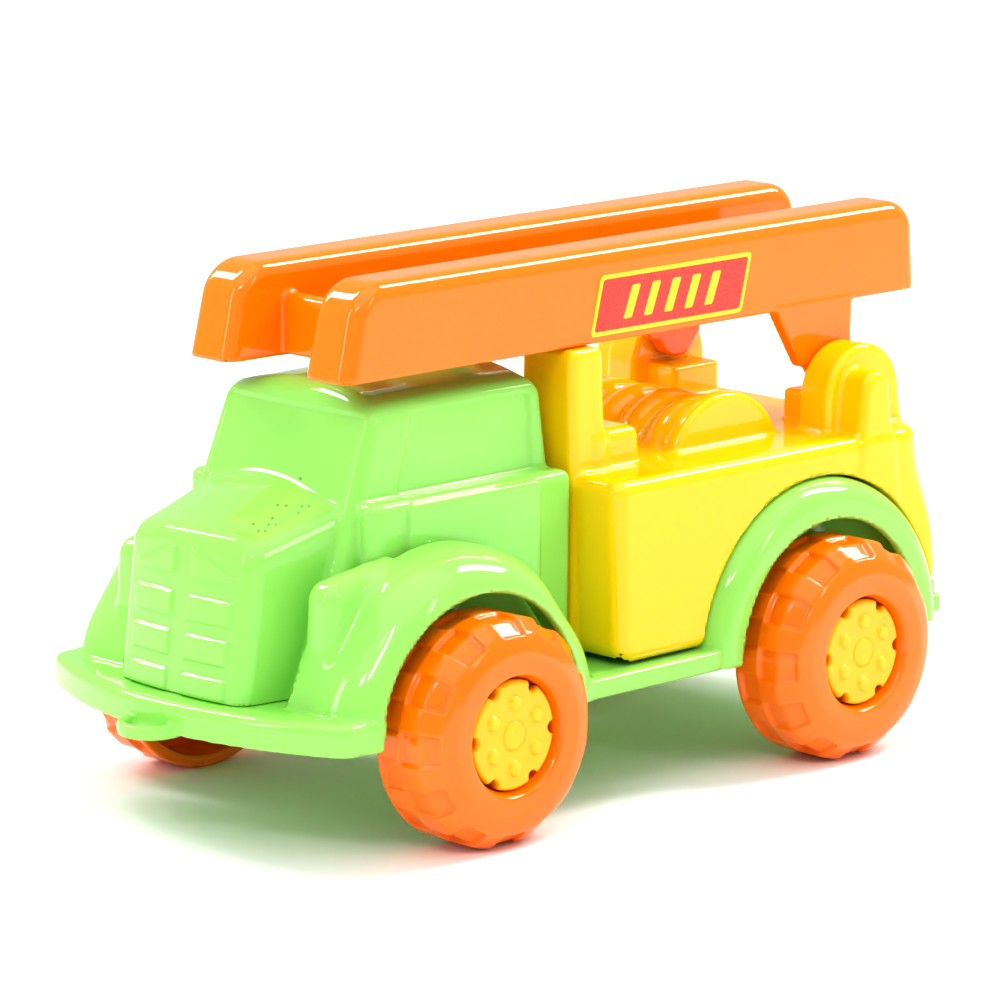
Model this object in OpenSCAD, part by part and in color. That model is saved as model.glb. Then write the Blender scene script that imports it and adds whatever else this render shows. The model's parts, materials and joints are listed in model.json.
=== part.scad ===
// Toy ladder fire truck: a moulded plastic body on a chassis, four hollow wheels on two
// wire axles, and a two-rail ladder that tilts up on pins in the rear posts.
// +X is the front, +Y the left side, +Z up; the wheels stand on z = 0.

/* [Wheels and axles] */
// Radius of the tyre over its tread bars
wheel_r = 33; // [31:0.5:34]
// Distance from the middle plane to the tyre's inner edge
wheel_in_y = 54; // [53:0.5:56]
// Width of the tyre from its inner edge to the bulge of its side wall
wheel_w = 23; // [20:0.5:24]
// Radius of the yellow hub cap
hub_r = 15.7; // [13:0.1:17]
// Position of the front axle along X
front_axle_x = 66.7; // [64:0.1:69]
// Position of the rear axle along X
rear_axle_x = -76.5; // [-79:0.1:-74]
// Radius of the steel axle wire
axle_r = 2; // [1.5:0.1:2.5]
// Radial clearance of each axle in its bearers
axle_gap = 0.06; // [0.02:0.01:0.1]

/* [Chassis] */
// Underside of the sills, bumpers and fenders
skirt_z = 33; // [32:0.5:34]
// Underside of the floor plate
floor_z = 36.8; // [36.5:0.1:37.2]
// Outer radius of each fender about its axle
fender_r = 49.5; // [49:0.5:51]
// Radius of the wheel opening in each fender
arch_r = 38; // [37:0.5:39.5]
// Half width over the fenders
fender_y = 63; // [62:0.5:64]
// Foremost point of the front bumper
bumper_x = 135; // [132:0.5:136]
// Foremost point of the towing loop
tow_x = 144.5; // [143:0.5:146]

/* [Cab] */
// Half width of the lower cab
cab_y = 40; // [39:0.5:40.5]
// Height of the belt line between the doors and the windows
belt_z = 95; // [93:0.5:96]
// Height of the roof crown
roof_z = 126; // [123:0.5:127]
// Position of the back wall of the cab
cab_back_x = 10; // [9.5:0.5:12]

/* [Rear body] */
// Height of the deck
deck_z = 93; // [91:0.5:94]
// Half width of the side walls
body_y = 57; // [56:0.5:58]
// Rear end of the deck
body_back_x = -125; // [-126:0.5:-124]
// Front end of the deck
body_front_x = 8; // [6:0.5:8.5]
// Radius of the hose reel over its flanges
reel_r = 24; // [23:0.1:25]

/* [Ladder] */
// Underside of the rails at rest
rail_z = 129; // [128:0.5:130]
// Height of each rail
rail_h = 27.5; // [25:0.5:29]
// Inner face of each rail
rail_in_y = 15; // [14:0.5:16]
// Outer face of each rail
rail_out_y = 34; // [33:0.5:34]
// Front end of the rails
rail_front_x = 92; // [90:0.5:93]
// Rear end of the rails
rail_back_x = -144.5; // [-146:0.5:-143]
// Pivot of the ladder along X
pivot_x = -105.5; // [-106.5:0.5:-104.5]
// Pivot of the ladder along Z
pivot_z = 113.3; // [112.8:0.1:113.8]
// Radius of each pivot pin
pin_r = 2.5; // [2:0.1:3]

/* [Plastic] */
// Wall thickness of the mouldings
wall = 2.2; // [2:0.1:2.6]

/* [Hidden] */
$fn = 96;
eps = 0.1;

green = "#7FE85A";
yellow = "#FFD800";
orange = "#FF7F11";
steel = "#C9CCD0";
sticker_red = "#F0402F";

axle_z = wheel_r;
floor_top = floor_z + wall;
wheel_out_y = wheel_in_y + wheel_w;
hub_seat_y = wheel_out_y - 9;
hub_face_y = wheel_out_y - 2;
axle_end_y = wheel_out_y - 5;
fender_in_front = 42;
fender_in_rear = 48;
leg_t = 4.4;
pin_end_y = 30.7;
pin_head_y = 46;
post_in_y = 34.6;
post_out_y = 47;
rail_top = rail_z + rail_h;
screw_r = 1.5;
screw_head_r = 3;
boss_r = 3.6;
cab_screws = [[97, 0], [28, 33], [28, -33]];
body_screw_spots = [[-26, 30], [-26, -30], [-112, 12], [-112, -12]];

function arc(r, a0, a1, n = 12, c = [0, 0]) =
  [for (i = [0:n]) c + r * [cos(a0 + (a1 - a0) * i / n), sin(a0 + (a1 - a0) * i / n)]];

// A side view outline in X and Z, as thick as the stretch from y0 to y1.
module side_plate(points, y0, y1) {
  translate([0, y1, 0]) rotate([90, 0, 0]) linear_extrude(y1 - y0) polygon(points);
}

// A round bar along Y.
module bar_y(r, y0, y1, x, z) {
  translate([x, y1, z]) rotate([90, 0, 0]) cylinder(r = r, h = y1 - y0);
}

// A block between two corners.
module block(low, high) {
  translate(low) cube(high - low);
}

module both_sides() {
  children();
  mirror([0, 1, 0]) children();
}

// A profile of [radius, y] points turned about an axle.
module turned_y(profile, x) {
  translate([x, 0, axle_z]) rotate([-90, 0, 0]) rotate_extrude() polygon(profile);
}

// ---- wheels ----

// Hollow tyre, open on its inner side, with a seat for the hub cap and a boss for the axle.
module tyre_left(x) {
  tread_out_y = wheel_out_y - 7;
  lip_r = hub_r + 2.6;
  outside = concat(
    [[wheel_r - 1.5, wheel_in_y], [wheel_r, wheel_in_y + 1.5]],
    [[wheel_r, tread_out_y]],
    arc(7, 8, 80, 6, [wheel_r - 7, tread_out_y]),
    [[wheel_r - 9.5, wheel_out_y], [lip_r, wheel_out_y - 0.3]],
    [[hub_r + 0.4, wheel_out_y - 2.5], [hub_r + 0.4, hub_seat_y]]
  );
  inside = [
    [axle_r, hub_seat_y], [axle_r, hub_seat_y - 8], [axle_r + 2.6, hub_seat_y - 8],
    [axle_r + 2.6, hub_seat_y - wall], [hub_r + 3, hub_seat_y - wall],
    [hub_r + 3, wheel_out_y - 4], [wheel_r - 9, wheel_out_y - wall - 0.6],
    [wheel_r - 4.2, tread_out_y + 1.5], [wheel_r - 3.6, wheel_in_y]
  ];
  color(orange) turned_y(concat(outside, inside), x);
}

// Hub cap with a rounded rim, six half round notches and six studs.
module hub_left(x) {
  rim = 1.6;
  profile = concat(
    [[0, hub_seat_y + 0.2], [hub_r, hub_seat_y + 0.2]],
    arc(rim, 0, 90, 5, [hub_r - rim, hub_face_y - rim]),
    [[0, hub_face_y]]
  );
  stud_r = hub_r * 0.155;
  color(yellow) difference() {
    union() {
      turned_y(profile, x);
      for (a = [0:60:300])
        bar_y(stud_r, hub_face_y - eps, hub_face_y + 0.9,
          x + 0.6 * hub_r * cos(a + 30), axle_z + 0.6 * hub_r * sin(a + 30));
      bar_y(hub_r * 0.27, hub_face_y - eps, hub_face_y + 0.5, x, axle_z);
    }
    for (a = [0:60:300])
      bar_y(hub_r * 0.13, hub_seat_y, hub_face_y + 2,
        x + hub_r * cos(a), axle_z + hub_r * sin(a));
    bar_y(axle_r, hub_seat_y, axle_end_y, x, axle_z);
  }
}

module axle(x) {
  color(steel) bar_y(axle_r, -axle_end_y, axle_end_y, x, axle_z);
}

// ---- chassis ----

// Half ring over a wheel: a rounded shell, open towards the wheel.
module fender(x, in_y) {
  edge = 9;
  shell = concat(
    [[fender_r, in_y], [fender_r, fender_y - edge]],
    arc(edge, 0, 70, 6, [fender_r - edge, fender_y - edge]),
    [[arch_r, fender_y], [arch_r, fender_y - wall]],
    [[fender_r - edge, fender_y - wall]],
    arc(edge - wall, 80, 10, 5, [fender_r - edge, fender_y - edge]),
    [[fender_r - wall, in_y]]
  );
  difference() {
    turned_y(shell, x);
    block([x - 60, in_y - 1, -30], [x + 60, fender_y + 1, skirt_z]);
  }
}

// Headlight pod beside the bonnet, hollow from below.
module pod() {
  low = [96, 35, skirt_z];
  high = [110, 46.4, 72.4];
  half = (high[1] - low[1]) / 2;
  difference() {
    union() {
      block(low, high);
      translate([96, low[1] + half, 72.4]) rotate([0, 90, 0]) cylinder(r = half, h = 14);
    }
    block(low + [wall, wall, -1], high - [wall, wall, 0]);
  }
}

// Front bumper: a rim and a shelf, curved in plan.
module bumper() {
  bow_r = 125;
  top = skirt_z + 9;
  module bowed(inset, z0, z1) {
    intersection() {
      translate([bumper_x - bow_r, 0, z0]) cylinder(r = bow_r - inset, h = z1 - z0, $fn = 160);
      block([104 + inset, inset - fender_y, z0], [bumper_x + 1, fender_y - inset, z1]);
    }
  }
  difference() {
    bowed(0, skirt_z, top);
    bowed(wall + 0.3, skirt_z - 1, top - wall);
    block([80, -fender_y - 1, skirt_z - 1], [front_axle_x + arch_r, -fender_in_front - 8, top + 1]);
    block([80, fender_in_front + 8, skirt_z - 1], [front_axle_x + arch_r, fender_y + 1, top + 1]);
  }
}

// Flat towing loop under the middle of the front bumper.
module tow_loop() {
  half_w = 9.8;
  band = 2.6;
  back_x = bumper_x - 3;
  depth = tow_x - back_x;
  module outline(inset) {
    translate([back_x, 0]) intersection() {
      union() {
        translate([depth - inset - half_w + inset, 0]) circle(r = half_w - inset);
        translate([-1, -half_w + inset])
          square([depth - half_w + 1, 2 * (half_w - inset)]);
      }
      translate([-1, -half_w]) square([depth + 1, 2 * half_w]);
    }
  }
  translate([0, 0, skirt_z - 1]) difference() {
    linear_extrude(4) outline(0);
    translate([0, 0, -1]) linear_extrude(6) intersection() {
      outline(band);
      translate([back_x + 2.5, -half_w]) square([depth, 2 * half_w]);
    }
  }
}

// Two hanging plates that carry an axle.
module bearers(x) {
  for (y = [24, 44])
    both_sides() difference() {
      union() {
        block([x - 6, y, axle_z], [x + 6, y + 4, floor_z + eps]);
        bar_y(6, y, y + 4, x, axle_z);
      }
      bar_y(axle_r + axle_gap, y - 1, y + 5, x, axle_z);
    }
}

module floor_plate() {
  half_y = 51;
  difference() {
    block([-128, -half_y, floor_z], [108, half_y, floor_top]);
    for (p = concat(cab_screws, body_screw_spots))
      translate([p[0], p[1], floor_z - 1]) cylinder(r = screw_r + 0.2, h = wall + 2);
  }
}

module sills() {
  both_sides() difference() {
    block([-26, 50, skirt_z], [28, fender_y, skirt_z + 6]);
    block([-27, 50 + wall, skirt_z - 1], [29, fender_y - wall, skirt_z + 6 - wall]);
  }
}

module rear_bumper() {
  difference() {
    block([-140, -45, skirt_z - 3], [-126, 45, skirt_z + 9]);
    block([-140 + wall, -45 + wall, skirt_z - 4], [-126, 45 - wall, skirt_z + 9 - wall]);
  }
  both_sides() block([-133, 40, skirt_z], [-121, fender_in_rear + wall, floor_top]);
}

// Front part of each front fender that reaches inwards to the pod, with the well's inner wall.
module well_wall() {
  low_y = 35.3;
  intersection() {
    union() {
      fender(front_axle_x, low_y);
      bar_y(fender_r - 1, low_y, low_y + wall, front_axle_x, axle_z);
    }
    block([89, low_y - 1, skirt_z], [front_axle_x + fender_r + 2, fender_in_front + 1, 90]);
  }
}

module chassis() {
  color(green) {
    floor_plate();
    sills();
    both_sides() {
      fender(front_axle_x, fender_in_front);
      fender(rear_axle_x, fender_in_rear);
      well_wall();
      pod();
    }
    bumper();
    tow_loop();
    rear_bumper();
    bearers(front_axle_x);
    bearers(rear_axle_x);
  }
}

// ---- cab ----

// Screw bosses that hang from the inside of a moulding down to the floor plate.
module bosses(spots, top_z) {
  for (p = spots)
    translate([p[0], p[1], floor_top + 0.2]) difference() {
      cylinder(r = boss_r, h = top_z - floor_top);
      translate([0, 0, -1]) cylinder(r = screw_r, h = 11);
    }
}

// Body of the cab; inset makes the hollow inside.
module cab_solid(inset) {
  low_z = inset > 0 ? floor_top - 1 : floor_top + 0.2;
  side_plate([
    [cab_back_x + inset, low_z], [87 - inset, low_z], [87 - inset, belt_z - 2 - inset],
    [cab_back_x + inset, belt_z - 2 - inset]
  ], inset - cab_y, cab_y - inset);
  side_plate([
    [cab_back_x + inset, low_z], [87 - inset, low_z], [87 - inset, belt_z + 1 - inset],
    [78.5 - inset, roof_z - 4 - inset], [70, roof_z - inset], [20, roof_z - inset],
    [cab_back_x + 3.5 + inset, roof_z - 3 - inset]
  ], inset - 31, 31 - inset);
}

// Bonnet: narrower and lower towards the front.
module bonnet_solid(inset) {
  low_z = floor_top + (inset > 0 ? -1 : 0.2);
  hull() {
    side_plate([
      [84, low_z], [86, low_z], [86, belt_z + 3 - inset], [84, belt_z + 3 - inset]
    ], inset - 30, 30 - inset);
    side_plate([
      [116 - inset, low_z], [125.5 - inset, low_z], [119.5 - inset, deck_z - 7 - inset],
      [116 - inset, deck_z - 6 - inset]
    ], inset - 26, 26 - inset);
  }
}

// Raised grille panels in two columns and three rows.
module grille() {
  for (row = [0:2])
    both_sides()
      block([118, 3.2, 49.8 + 11 * row - 8.4], [126.6 - 1.5 * row, 20, 49.8 + 11 * row]);
}

module cab_shell() {
  color(green) {
    difference() {
      union() {
        cab_solid(0);
        bonnet_solid(0);
        grille();
        both_sides() block([23, cab_y - eps, 44], [74, cab_y + 1.2, belt_z - 2]);
      }
      cab_solid(wall);
      bonnet_solid(wall);
      block([103.5, -cab_y, floor_z], [bumper_x, cab_y, skirt_z + 9.2]);
    }
    bosses(cab_screws, belt_z - 2.5);
  }
}

// ---- rear body ----

// Box of the rear body in side view, with a swept rear edge.
module deck_solid(inset) {
  low_z = inset > 0 ? floor_top - 1 : floor_top + 0.2;
  side_plate([
    [body_front_x - inset, low_z + 6], [body_front_x - 6 - inset, low_z],
    [body_back_x + 4 + inset, low_z], [body_back_x - 4 + inset, 50],
    [body_back_x - 2 + inset, 66], [body_back_x + 1 + inset, deck_z - inset],
    [body_front_x - inset, deck_z - inset]
  ], inset - body_y, body_y - inset);
}

// Space over a rear wheel, cut from the side of the body.
module wheel_space() {
  both_sides() bar_y(fender_r + 0.3, fender_in_rear - 0.3, body_y + 1, rear_axle_x, axle_z);
}

// Tower that a ladder rail rests on, with a step behind it.
module front_post(inset) {
  low_z = deck_z - 3;
  side_plate([
    [-6.5 + inset, low_z], [body_front_x - inset, low_z], [7.5 - inset, rail_z - 0.4 - inset],
    [-5.5 + inset, rail_z - 0.4 - inset]
  ], 15.6 + inset, 38 - inset);
  side_plate([
    [-20 + inset, low_z], [-5, low_z], [-5, 104 - inset], [-19 + inset, 104 - inset]
  ], 17 + inset, 38 - inset);
}

// Post with a round top that holds the ladder's pivot pin, and its buttress.
module rear_post(inset) {
  low_z = deck_z - 3;
  top_r = 16;
  side_plate(concat(
    [[-123.7 + inset, low_z], [-90.3 - inset, low_z]],
    arc(top_r - inset, 0, 180, 18, [-106.6, 102])
  ), post_in_y + inset, post_out_y - inset);
  side_plate(concat(
    [[-112.5 + inset, low_z], [-95.5 - inset, low_z]],
    arc(6 - inset, 0, 180, 12, [-102, 106])
  ), post_out_y - 2, body_y - inset);
}

// Low block under each ladder leg.
module leg_block(inset) {
  block([-116.5 + inset, 22.6 + inset, deck_z - 3], [-96.5 - inset, post_in_y + 1, 102.8 - inset]);
}

// Hose reel: the upper part of a drum lying across the deck, with end flanges.
module reel(inset) {
  reel_x = -58.5;
  reel_z = deck_z - 9;
  half_y = 36;
  flange = 5.6;
  module drum(r, y0, y1) {
    intersection() {
      bar_y(r, y0, y1, reel_x, reel_z);
      block([reel_x - 30, y0, deck_z - 3], [reel_x + 30, y1, deck_z + 30]);
    }
  }
  if (inset > 0) drum(reel_r - 6.2, wall - half_y, half_y - wall);
  else {
    drum(reel_r - 4, -half_y, half_y);
    both_sides() drum(reel_r, half_y - flange, half_y);
    for (turn = [-2:2]) drum(reel_r - 2.2, turn * 12 - 4.5, turn * 12 + 4.5);
  }
}

module rear_body() {
  color(yellow) {
    difference() {
      union() {
        deck_solid(0);
        both_sides() {
          front_post(0);
          rear_post(0);
          leg_block(0);
        }
        reel(0);
      }
      difference() {
        union() {
          deck_solid(wall);
          both_sides() {
            front_post(wall);
            rear_post(wall);
            leg_block(wall);
          }
          reel(wall);
        }
        both_sides() bar_y(pin_r + 3, post_in_y, pin_head_y, pivot_x, pivot_z);
      }
      wheel_space();
      both_sides() bar_y(pin_r, post_in_y - 1, pin_head_y, pivot_x, pivot_z);
    }
    bosses(body_screw_spots, deck_z - 1.5);
  }
}

// ---- ladder ----

// One rail in side view, with a raked front end.
module rail_side(inset, y0, y1) {
  corner = 8;
  side_plate(concat(
    [[rail_front_x - inset, rail_z - inset * 3]],
    [[rail_front_x - 4.5 - inset, rail_top - corner]],
    arc(corner - inset, 0, 90, 6, [rail_front_x - 5.5 - corner, rail_top - corner]),
    arc(corner - inset, 90, 175, 6, [rail_back_x + 1.5 + corner, rail_top - corner]),
    [[rail_back_x + inset, rail_z - inset * 3]]
  ), y0, y1);
}

// Flat leg in side view; its round end is centred on the pivot.
module leg_side(y0, y1) {
  leg_r = 9;
  side_plate(concat(
    [[-80, rail_z + 1], [-82.6, rail_z - 1]],
    arc(leg_r, 0, -180, 14, [pivot_x, pivot_z]),
    [[-115, rail_z - 1], [-115.5, rail_z + 1]]
  ), y0, y1);
}

module rungs() {
  rung_pitch = 45;
  for (i = [0:4])
    block([68 - i * rung_pitch - 3, -rail_in_y - 1, rail_z + 0.5],
      [68 - i * rung_pitch + 3, rail_in_y + 1, rail_top - 9.5]);
}

module ladder() {
  color(orange) {
    rungs();
    both_sides() difference() {
      union() {
        difference() {
          rail_side(0, rail_in_y, rail_out_y);
          rail_side(wall, rail_in_y + wall, rail_out_y - wall);
        }
        leg_side(rail_out_y - leg_t, rail_out_y);
      }
      bar_y(pin_r + axle_gap, rail_out_y - leg_t + 0.9, rail_out_y + 1, pivot_x, pivot_z);
    }
  }
}

// Pin of one pivot: pressed into the post, turning in the ladder's leg.
module ladder_pin_left() {
  color(orange) bar_y(pin_r, pin_end_y, pin_head_y, pivot_x, pivot_z);
}

// Slanted label with a plain border, on the outside of a rail.
module sticker_left() {
  half_l = 31.5;
  half_h = 8.8;
  slant = -2.2;
  mid_x = -37;
  mid_z = rail_z + 10.8;
  color(sticker_red) side_plate([
    [mid_x - half_l - slant, mid_z - half_h], [mid_x + half_l - slant, mid_z - half_h],
    [mid_x + half_l + slant, mid_z + half_h], [mid_x - half_l + slant, mid_z + half_h]
  ], rail_out_y, rail_out_y + 0.2);
}

module body_screws() {
  color(steel) for (p = concat(cab_screws, body_screw_spots))
    translate([p[0], p[1], floor_z - 2]) {
      cylinder(r = screw_head_r, h = 2);
      cylinder(r = screw_r, h = 11);
    }
}

chassis();
cab_shell();
rear_body();
ladder();
axle(front_axle_x);  // front_axle
axle(rear_axle_x);  // rear_axle
tyre_left(front_axle_x);  // tyre_front_left
mirror([0, 1, 0]) tyre_left(front_axle_x);  // tyre_front_right
tyre_left(rear_axle_x);  // tyre_rear_left
mirror([0, 1, 0]) tyre_left(rear_axle_x);  // tyre_rear_right
hub_left(front_axle_x);  // hub_front_left
mirror([0, 1, 0]) hub_left(front_axle_x);  // hub_front_right
hub_left(rear_axle_x);  // hub_rear_left
mirror([0, 1, 0]) hub_left(rear_axle_x);  // hub_rear_right
sticker_left();
mirror([0, 1, 0]) sticker_left();  // sticker_right
ladder_pin_left();
mirror([0, 1, 0]) ladder_pin_left();  // ladder_pin_right
body_screws();
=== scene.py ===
"""Toy ladder truck in glossy moulded plastic: detailed surfaces around the fixed CAD frame."""

import json
import math

import bpy
import numpy as np
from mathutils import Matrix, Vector


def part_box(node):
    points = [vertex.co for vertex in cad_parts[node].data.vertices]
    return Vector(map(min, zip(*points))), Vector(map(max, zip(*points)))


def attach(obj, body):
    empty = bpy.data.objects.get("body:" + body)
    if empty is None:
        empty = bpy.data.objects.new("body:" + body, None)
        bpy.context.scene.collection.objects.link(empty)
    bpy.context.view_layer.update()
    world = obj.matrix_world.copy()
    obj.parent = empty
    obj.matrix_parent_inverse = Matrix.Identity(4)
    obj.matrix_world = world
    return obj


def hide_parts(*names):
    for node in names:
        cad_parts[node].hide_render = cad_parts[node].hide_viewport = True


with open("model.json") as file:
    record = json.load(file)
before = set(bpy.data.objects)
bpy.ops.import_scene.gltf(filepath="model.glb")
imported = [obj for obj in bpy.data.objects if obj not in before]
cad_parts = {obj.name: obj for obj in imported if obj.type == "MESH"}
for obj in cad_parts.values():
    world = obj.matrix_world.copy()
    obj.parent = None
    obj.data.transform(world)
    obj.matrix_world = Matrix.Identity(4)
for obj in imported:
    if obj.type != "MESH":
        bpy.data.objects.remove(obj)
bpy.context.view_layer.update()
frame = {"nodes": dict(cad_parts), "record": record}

MM = 0.001


def node_box(node):
    """Lowest and highest corner of a CAD node, in millimetres."""
    low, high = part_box(node)
    return np.array(low) / MM, np.array(high) / MM


# ---- driving dimensions in millimetres, read from the frame ----
tyre_low, tyre_high = node_box("tyre_front_left")
WHEEL_R = (tyre_high[0] - tyre_low[0]) / 2
TYRE_IN_Y, TYRE_OUT_Y = tyre_low[1], tyre_high[1]
AXLE_Z = (tyre_low[2] + tyre_high[2]) / 2
FRONT_AXLE_X = (tyre_low[0] + tyre_high[0]) / 2
rear_low, rear_high = node_box("tyre_rear_left")
REAR_AXLE_X = (rear_low[0] + rear_high[0]) / 2
ladder_low, ladder_high = node_box("ladder")
RAIL_BACK_X, RAIL_FRONT_X = ladder_low[0], ladder_high[0]
RAIL_TOP, RAIL_OUT_Y = ladder_high[2], ladder_high[1]
pivot = next(j for j in frame["record"]["behaviour"]["joints"] if j["name"] == "ladder_tilt")["pos_m"]
PIVOT_X, PIVOT_Z = pivot[0] / MM, pivot[2] / MM
chassis_low, chassis_high = node_box("chassis")
TOW_X, FENDER_Y = chassis_high[0], chassis_high[1]
CAB_BACK_X = node_box("cab_shell")[0][0]

# ---- sizes inside those boxes, in millimetres ----
WALL = 2.3
RIM = 0.6  # rounding of the lower rims
RAIL_Z = RAIL_TOP - 27.5
RAIL_IN_Y = RAIL_OUT_Y - 19
SKIRT_Z = 33.0
BUMPER_TOP = SKIRT_Z + 9
FLOOR_Z = 36.8
FLOOR_TOP = 39.0
UPPER_FOOT_Z = FLOOR_TOP + 0.2
FENDER_R, ARCH_R = 49.8, 38.0
REAR_WELL_Y = 47.8
DECK_Z = 93.0
BELT_Z = 95.3
HUB_R = 15.7
HOLLOW_Z = 60  # below this height a hollow keeps its section, so that it is open below


# ---- signed distance building blocks ----
def rmax(a, b, r):
    """Intersection of two distance fields with a round edge of radius r: outside both faces
    pushed in by r, the distance is measured to their common corner circle."""
    outer = np.sqrt(np.maximum(a + r, 0) ** 2 + np.maximum(b + r, 0) ** 2)
    return np.minimum(-r, np.maximum(a, b)) + outer


def rmin(a, b, r):
    """Union of two distance fields with a concave fillet of radius r."""
    return -rmax(-a, -b, r)


def slab(v, low, high):
    """Distance to the stretch from low to high along one direction."""
    return np.abs(v - (low + high) / 2) - (high - low) / 2


def box(x, y, z, low, high, r):
    """Block between two corners, with edges of radius r."""
    f = rmax(slab(x, low[0], high[0]), slab(y, low[1], high[1]), r)
    return rmax(f, slab(z, low[2], high[2]), r)


def ease(t):
    """Smooth step of a value that already lies between 0 and 1."""
    return t * t * (3 - 2 * t)


def ramp(v, low, high):
    """Smooth step from 0 at low to 1 at high."""
    return ease(np.clip((v - low) / (high - low), 0, 1))


def relief(distance, soft):
    """1 inside an outline and 0 outside it, from the distance to the outline, with a smooth
    step as wide as soft between them."""
    return ease(np.clip(0.5 - distance / soft, 0, 1))


def plate_mask(u, v, low, high, corner, soft):
    """Relief of a rectangle with round corners in the u, v plane."""
    return relief(rmax(slab(u, low[0], high[0]), slab(v, low[1], high[1]), corner), soft)


def axis(low, high, step, fine=(), fine_step=0.5):
    """Grid lines from low to high, closer together inside the fine stretches."""
    lines = [low]
    while lines[-1] < high:
        inside = any(a <= lines[-1] + 1e-6 < b for a, b in fine)
        lines.append(lines[-1] + (fine_step if inside else step))
    return np.array(lines)


# ---- from a distance field to a mesh ----
def net_points(F, axes):
    """One point per mixed cell: the mean of the places where the field changes sign on the
    cell's edges. Returns the points, and each cell's point number or -1."""
    inside = F < 0
    shape = tuple(n - 1 for n in F.shape)
    total = np.zeros(shape + (3,), np.float32)
    count = np.zeros(shape, np.float32)
    for k in range(3):
        a = [slice(None)] * 3
        b = [slice(None)] * 3
        a[k], b[k] = slice(0, -1), slice(1, None)
        f0, f1 = F[tuple(a)], F[tuple(b)]
        cross = inside[tuple(a)] != inside[tuple(b)]
        t = np.where(cross, f0 / np.where(cross, f0 - f1, 1), 0)
        others = [m for m in range(3) if m != k]
        point = np.zeros(cross.shape + (3,), np.float32)
        for m in range(3):
            line = axes[m][: cross.shape[m]].reshape([-1 if q == m else 1 for q in range(3)])
            if m == k:
                gap = np.diff(axes[m]).reshape([-1 if q == m else 1 for q in range(3)])
                point[..., m] = (line + t * gap) * cross
            else:
                point[..., m] = line * cross
        for du in (0, 1):
            for dv in (0, 1):
                cell = [slice(None)] * 3
                edge = [slice(None)] * 3
                for m, shift in zip(others, (du, dv)):
                    n = shape[m]
                    cell[m] = slice(0, n)
                    edge[m] = slice(shift, shift + n)
                total[tuple(cell)] += point[tuple(edge)]
                count[tuple(cell)] += cross[tuple(edge)]
    active = count > 0
    number = np.full(shape, -1, np.int64)
    number[active] = np.arange(int(active.sum()))
    return total[active] / count[active][:, None], number


def net_quads(F, number):
    """One quad around every grid edge that crosses the surface, facing outwards."""
    inside = F < 0
    quads = []
    for k in range(3):
        u, v = (k + 1) % 3, (k + 2) % 3
        a = [slice(1, -1)] * 3
        b = [slice(1, -1)] * 3
        a[k], b[k] = slice(0, -1), slice(1, None)
        first = inside[tuple(a)]
        cross = first != inside[tuple(b)]
        corners = []
        for du, dv in ((0, 0), (1, 0), (1, 1), (0, 1)):
            cell = [slice(None)] * 3
            cell[u] = slice(du, du + cross.shape[u])
            cell[v] = slice(dv, dv + cross.shape[v])
            cell[k] = slice(0, cross.shape[k])
            corners.append(number[tuple(cell)][cross])
        q = np.stack(corners, axis=1)
        flip = ~first[cross]
        q[flip] = q[flip][:, ::-1]
        quads.append(q)
    return np.concatenate(quads)


def gradient(field, P, h=0.04):
    """Slope of the field at each point, by central differences."""
    g = np.empty_like(P)
    for k in range(3):
        step = np.zeros(3)
        step[k] = h
        high, low = P + step, P - step
        g[:, k] = (field(*high.T) - field(*low.T)) / (2 * h)
    return g


def moulding(name, field, xs, ys, zs):
    """Mesh of the zero surface of a field that is the same on both sides of y = 0. Net points
    are pulled onto the surface along the slope, and the slope gives the normals."""
    F = field(xs[:, None, None], ys[None, :, None], zs[None, None, :])
    F = np.broadcast_to(F, (len(xs), len(ys), len(zs))).astype(np.float32)
    points, number = net_points(F, (xs, ys, zs))
    quads = net_quads(F, number)
    P = points.astype(np.float64)
    for _ in range(4):
        g = gradient(field, P)
        size = np.maximum((g * g).sum(1), 0.2)
        step = (field(*P.T) / size)[:, None] * g
        length = np.linalg.norm(step, axis=1, keepdims=True)
        P -= step * np.minimum(1, 0.4 / np.maximum(length, 1e-9))
    normals = gradient(field, P)
    normals /= np.maximum(np.linalg.norm(normals, axis=1, keepdims=True), 1e-9)
    return mesh_object(name, P, quads, normals)


def mesh_object(name, points, faces, normals=None):
    """New object from points in millimetres and faces of equal size."""
    mesh = bpy.data.meshes.new(name)
    mesh.from_pydata(points * MM, [], faces)
    mesh.shade_smooth()
    if normals is not None:
        mesh.normals_split_custom_set_from_vertices(normals)
    obj = bpy.data.objects.new(name, mesh)
    bpy.context.scene.collection.objects.link(obj)
    return obj


# ---- shared shapes ----
def wheel_distance(x, z, centre_x):
    """Distance from an axle in side view."""
    return np.sqrt((x - centre_x) ** 2 + (z - AXLE_Z) ** 2)


def fender(x, y, z, centre_x, in_y, edge, reach, dip):
    """Hollow half ring over a wheel: a ring section whose outer corner is a quarter of an
    ellipse, edge high and reach wide, flattened by dip half way up its slope, less the same
    section pushed in by the wall, less the wheel opening."""
    radial = wheel_distance(x, z, centre_x)
    flat_wide, flat_lean = 17, 0.75
    slope = (z - AXLE_Z - flat_lean * np.abs(x - centre_x)) / flat_wide
    flat = dip * np.exp(-slope * slope)
    skin = rmax(radial - FENDER_R + flat, (y - FENDER_Y) * edge / reach, edge)
    f = np.maximum(skin, -(skin + WALL))
    f = rmax(f, ARCH_R - radial, 0.5)
    f = np.maximum(f, in_y - y)
    return rmax(f, SKIRT_Z - z, RIM)


def wheel_well(x, y, z, centre_x, in_y, out_y, inset):
    """Upright wall of a wheel well, between in_y and out_y: a disc inset from the fender's
    skin, cut off at the floor plate."""
    disc = wheel_distance(x, z, centre_x) - FENDER_R + inset
    return np.maximum(slab(y, in_y, out_y), np.maximum(disc, FLOOR_Z - z))


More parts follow.
